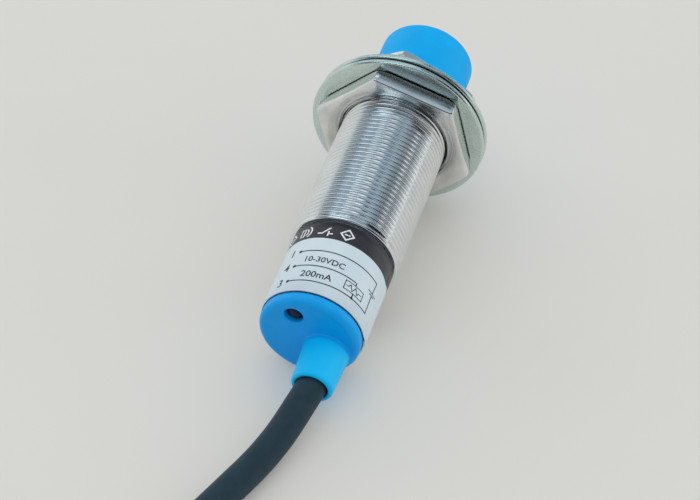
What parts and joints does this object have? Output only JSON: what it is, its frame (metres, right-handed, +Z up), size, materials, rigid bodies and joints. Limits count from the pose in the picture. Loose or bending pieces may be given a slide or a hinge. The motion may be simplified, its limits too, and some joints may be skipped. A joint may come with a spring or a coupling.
{
  "type": "proximity sensor",
  "caption": "Threaded-barrel inductive proximity sensor with a plastic sensing nose, lock nuts, flat washers, a rear cap with an indicator lamp, and a short cable tail.",
  "frame": {"origin": "centre of the sensing face", "axes": "+Z up from the surface the sensor lies on; +X points forward, level, on the side of the sensing face; +Y is to the left. The barrel's axis lies in the XZ plane and leans nose-up by 8.392 degrees, because the sensor rests on a washer's rim and its rear cap's edge"},
  "size_m": [0.1181, 0.03, 0.0301],
  "materials": {
    "barrel_plating": "bright nickel plating over turned metal",
    "nut_plating": "nickel plating, polished countersink",
    "washer_plating": "satin zinc plating on pressed steel",
    "nose_blue": "moulded blue plastic, fine matt texture",
    "cap_blue": "moulded blue plastic, satin",
    "label_film": "silver-white film with a black band and thin printed lines",
    "jacket_black": "matt PVC cable jacket",
    "lamp_epoxy": "tinted epoxy",
    "tinned_metal": "tinned copper",
    "ferrite": "sintered ferrite",
    "bobbin_plastic": "natural nylon",
    "copper": "enamelled copper wire",
    "board_green": "green solder mask on glass epoxy",
    "chip_black": "moulded epoxy package",
    "ceramic": "ceramic chip body",
    "diode_glass": "glass body",
    "resin": "cast epoxy potting",
    "wire_brown": "PVC insulation",
    "wire_blue": "PVC insulation",
    "wire_black": "PVC insulation"
  },
  "bodies": {
    "sensor": {"barrel": "barrel_plating", "wrap_label": "label_film", "sensing_nose": "nose_blue", "ferrite_core": "ferrite", "coil_bobbin": "bobbin_plastic", "coil_winding": "copper", "coil_lead_start": "copper", "coil_lead_finish": "copper", "rear_cap": "cap_blue", "indicator_led": "lamp_epoxy", "led_leg_anode": "tinned_metal", "led_leg_cathode": "tinned_metal", "potting_resin": "resin", "circuit_board": "board_green", "comparator_chip": "chip_black", "oscillator_transistor": "chip_black", "output_transistor": "chip_black", "polarity_diode": "diode_glass", "zener_diode": "diode_glass", "tuning_capacitor": "ceramic", "filter_capacitor": "ceramic", "supply_capacitor": "ceramic", "distance_resistor": "chip_black", "feedback_resistor": "chip_black", "lamp_resistor": "chip_black", "load_resistor": "chip_black", "cable_jacket": "jacket_black", "wire_brown": "wire_brown", "wire_blue": "wire_blue", "wire_black": "wire_black", "conductor_brown": "tinned_metal", "conductor_blue": "tinned_metal", "conductor_black": "tinned_metal"},
    "rear_washer": {"rear_washer": "washer_plating"},
    "rear_nut": {"rear_nut": "nut_plating"},
    "front_washer": {"front_washer": "washer_plating"},
    "front_nut": {"front_nut": "nut_plating"}
  },
  "joints": [
    {"name": "rear_washer_slide", "type": "slide", "parent": "sensor", "child": "rear_washer", "axis": [0.9893, 0, 0.146], "range_m": [-0.0265, 0]},
    {"name": "rear_nut_turn", "type": "hinge", "parent": "rear_washer", "child": "rear_nut", "pos_m": [0, 0, 0], "axis": [0.9893, 0, 0.146], "range_deg": [-9540, 0]},
    {"name": "front_washer_slide", "type": "slide", "parent": "sensor", "child": "front_washer", "axis": [0.9893, 0, 0.146], "range_m": [0, 0.005]},
    {"name": "front_nut_turn", "type": "hinge", "parent": "front_washer", "child": "front_nut", "pos_m": [0, 0, 0], "axis": [0.9893, 0, 0.146], "range_deg": [0, 1800]}
  ],
  "couplings": [
    {"joint": "rear_nut_turn", "follows": "rear_washer_slide", "rad_per_m": 6283.2},
    {"joint": "front_nut_turn", "follows": "front_washer_slide", "rad_per_m": 6283.2}
  ]
}
